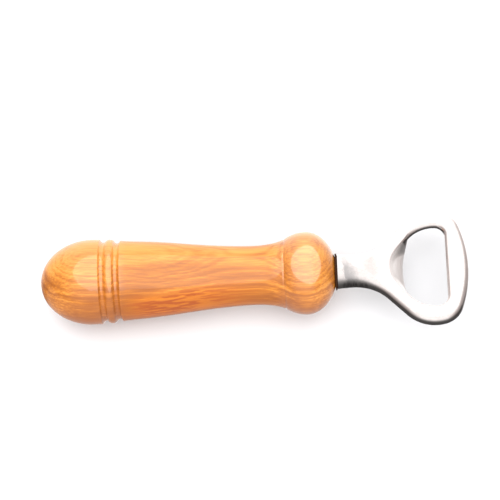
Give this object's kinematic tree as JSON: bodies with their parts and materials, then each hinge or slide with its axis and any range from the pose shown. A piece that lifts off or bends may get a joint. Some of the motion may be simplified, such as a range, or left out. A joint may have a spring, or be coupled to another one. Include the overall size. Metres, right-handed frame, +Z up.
{
  "type": "bottle opener",
  "caption": "Hand-held bottle opener with a turned, lacquered wooden handle and a pressed steel ring head with a scooped tongue.",
  "frame": {"origin": "on the surface that the opener lies on, under the middle of its length and below the handle's axis", "axes": "+X along the handle from the butt towards the ring's tip, +Z up out of the ring's upper face, +Y to the left of +X"},
  "size_m": [0.16, 0.0462, 0.0319],
  "materials": {
    "lacquered_wood": "gloss",
    "dark_washer": "satin",
    "adhesive": "satin",
    "polished_steel": "gloss"
  },
  "bodies": {
    "root": {"handle": "lacquered_wood", "collar_washer": "dark_washer", "tang_adhesive": "adhesive", "opener_head": "polished_steel"}
  },
  "joints": []
}
